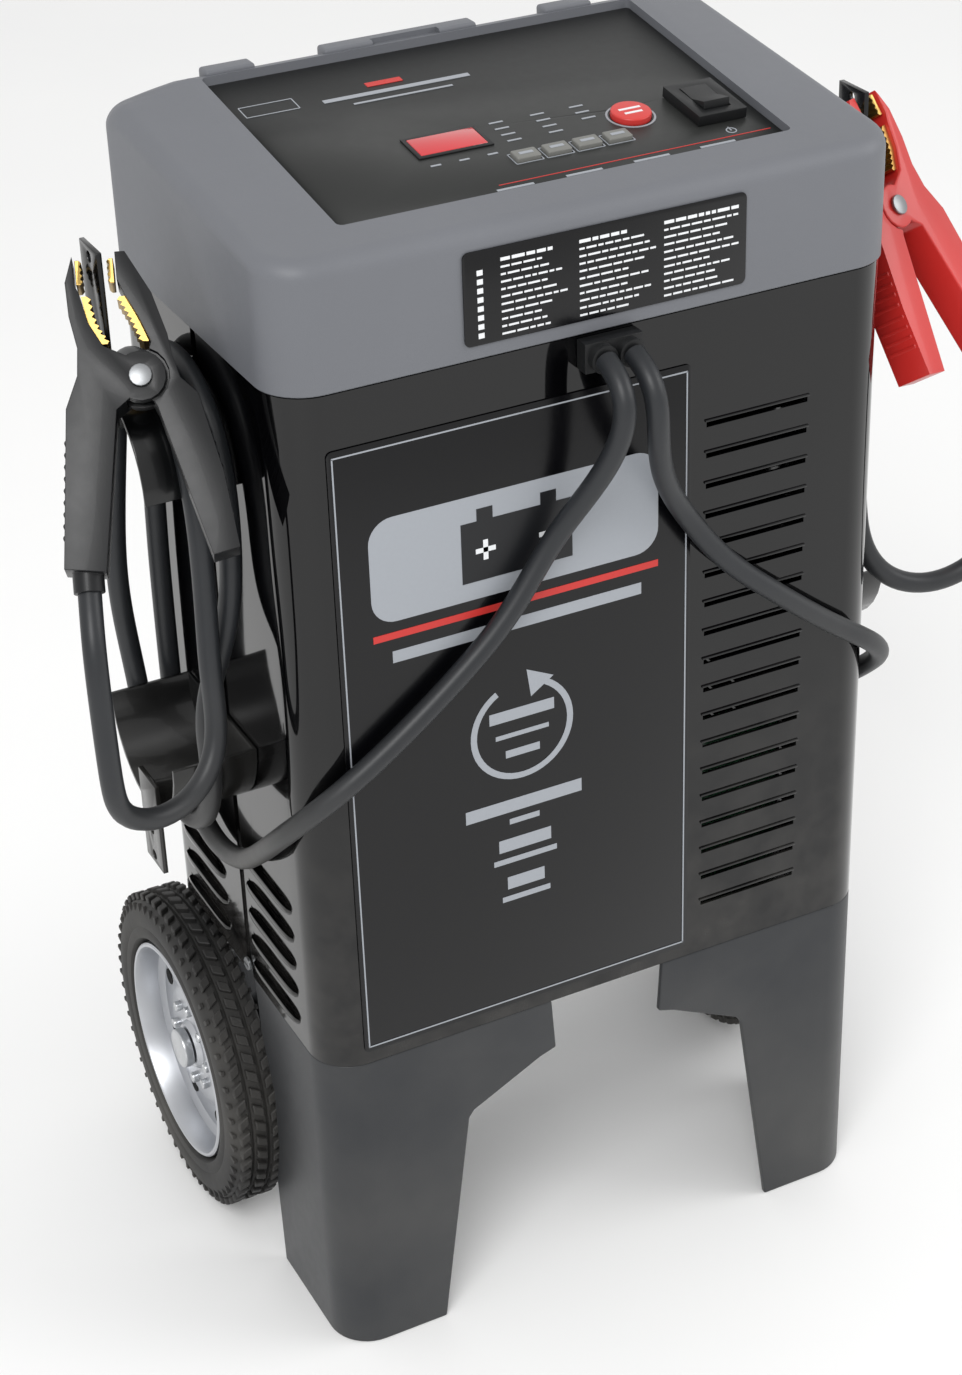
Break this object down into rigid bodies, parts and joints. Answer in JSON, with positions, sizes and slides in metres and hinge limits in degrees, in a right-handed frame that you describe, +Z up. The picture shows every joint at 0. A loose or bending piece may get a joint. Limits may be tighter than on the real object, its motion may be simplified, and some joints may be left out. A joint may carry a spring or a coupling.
{
  "type": "wheeled battery charger",
  "caption": "Wheeled car battery charger in a tall sheet housing with a sloping control panel, front legs, rear wheels and two clamp leads wound on side hooks.",
  "frame": {"origin": "centre of the bottom of the box round the charger without its leads and clamps, on the floor", "axes": "+Z up from the floor, -Y towards the front where the leads leave the housing, +X towards the red clamp side"},
  "size_m": [0.5046, 0.2888, 0.6233],
  "materials": {
    "cover_plastic": "fine-grained satin moulding",
    "panel_plastic": "satin overlay",
    "gloss_black": "high-gloss paint",
    "leg_plastic": "satin charcoal moulding",
    "black_plastic": "satin",
    "clamp_black": "semi-gloss grip moulding",
    "clamp_red": "semi-gloss grip moulding",
    "button_red": "satin",
    "button_grey": "satin",
    "display_red": "clear red window",
    "label_navy": "printed plate",
    "lead_rubber": "smooth cable sheath",
    "tyre_rubber": "moulded tread",
    "zinc_steel": "zinc plated",
    "plain_steel": "plain",
    "hook_steel": "gloss black paint over bent sheet",
    "jaw_brass": "stamped and toothed",
    "copper": "enamelled copper wire",
    "board_green": "solder mask",
    "alloy": "extruded"
  },
  "bodies": {
    "charger": {"front_sheet": "gloss_black", "rear_sheet": "gloss_black", "base_tray": "plain_steel", "seam_screw_left": "plain_steel", "seam_screw_right": "plain_steel", "top_cover": "cover_plastic", "control_panel": "panel_plastic", "display_lens": "display_red", "switch_bezel": "black_plastic", "instruction_plate": "label_navy", "front_label": "label_navy", "leg_left": "leg_plastic", "leg_right": "leg_plastic", "axle": "zinc_steel", "axle_bracket_left": "hook_steel", "axle_cap_left": "zinc_steel", "hook_upper_left": "hook_steel", "hook_lower_left": "hook_steel", "clamp_outer_left": "clamp_black", "clamp_plate_outer_left": "jaw_brass", "clamp_pin_left": "plain_steel", "clamp_spring_left": "plain_steel", "lead_wraps_left": "lead_rubber", "lead_tail_left": "lead_rubber", "axle_bracket_right": "hook_steel", "axle_cap_right": "zinc_steel", "transformer_core": "plain_steel", "transformer_winding": "copper", "circuit_board": "board_green", "heat_sink": "alloy", "fan_frame": "black_plastic", "fan_guard": "zinc_steel", "lead_gland": "black_plastic", "mains_gland": "black_plastic", "hook_upper_right": "hook_steel", "hook_lower_right": "hook_steel", "clamp_outer_right": "clamp_red", "clamp_plate_outer_right": "jaw_brass", "clamp_pin_right": "plain_steel", "clamp_spring_right": "plain_steel", "lead_run_right": "lead_rubber", "lead_wraps_right": "lead_rubber", "lead_tail_right": "lead_rubber", "lead_run_left": "lead_rubber"},
    "wheel_left": {"wheel_rim_left": "zinc_steel", "tyre_left": "tyre_rubber"},
    "clamp_jaw_left": {"clamp_inner_left": "clamp_black", "clamp_plate_inner_left": "jaw_brass"},
    "wheel_right": {"wheel_rim_right": "zinc_steel", "tyre_right": "tyre_rubber"},
    "clamp_jaw_right": {"clamp_inner_right": "clamp_red", "clamp_plate_inner_right": "jaw_brass"},
    "rocker": {"switch_rocker": "black_plastic"},
    "start_stop": {"start_stop_button": "button_red"},
    "mode_1": {"mode_button_1": "button_grey"},
    "mode_2": {"mode_button_2": "button_grey"},
    "mode_3": {"mode_button_3": "button_grey"},
    "mode_4": {"mode_button_4": "button_grey"},
    "fan": {"fan_rotor": "black_plastic"}
  },
  "joints": [
    {"name": "wheel_left_spin", "type": "hinge", "parent": "charger", "child": "wheel_left", "pos_m": [-0.162, 0.0469, 0.089], "axis": [1, 0, 0], "continuous": true},
    {"name": "wheel_right_spin", "type": "hinge", "parent": "charger", "child": "wheel_right", "pos_m": [0.162, 0.0469, 0.089], "axis": [1, 0, 0], "continuous": true},
    {"name": "clamp_jaw_left_open", "type": "hinge", "parent": "charger", "child": "clamp_jaw_left", "pos_m": [-0.19121, -0.05873, 0.53302], "axis": [0.2695, 0.7405, -0.6157], "range_deg": [0, 20], "stiffness_Nm_per_rad": 1.5, "springref_deg": -34.38},
    {"name": "clamp_jaw_right_open", "type": "hinge", "parent": "charger", "child": "clamp_jaw_right", "pos_m": [0.19253, -0.0563, 0.53089], "axis": [0.3372, -0.7574, 0.5592], "range_deg": [0, 20], "stiffness_Nm_per_rad": 1.5, "springref_deg": -34.38},
    {"name": "power_rocker", "type": "hinge", "parent": "charger", "child": "rocker", "pos_m": [0.0908, -0.05716, 0.60559], "axis": [1, 0, 0], "range_deg": [0, 16]},
    {"name": "start_stop_press", "type": "slide", "parent": "charger", "child": "start_stop", "axis": [0, 0.1435, -0.9897], "range_m": [0, 0.0012], "stiffness_N_per_m": 800, "springref_m": -0.0005},
    {"name": "mode_1_press", "type": "slide", "parent": "charger", "child": "mode_1", "axis": [0, 0.1435, -0.9897], "range_m": [0, 0.0008], "stiffness_N_per_m": 600, "springref_m": -0.0005},
    {"name": "mode_2_press", "type": "slide", "parent": "charger", "child": "mode_2", "axis": [0, 0.1435, -0.9897], "range_m": [0, 0.0008], "stiffness_N_per_m": 600, "springref_m": -0.0005},
    {"name": "mode_3_press", "type": "slide", "parent": "charger", "child": "mode_3", "axis": [0, 0.1435, -0.9897], "range_m": [0, 0.0008], "stiffness_N_per_m": 600, "springref_m": -0.0005},
    {"name": "mode_4_press", "type": "slide", "parent": "charger", "child": "mode_4", "axis": [0, 0.1435, -0.9897], "range_m": [0, 0.0008], "stiffness_N_per_m": 600, "springref_m": -0.0005},
    {"name": "fan_spin", "type": "hinge", "parent": "charger", "child": "fan", "pos_m": [0.06, 0.0621, 0.35], "axis": [0, 1, 0], "continuous": true}
  ]
}
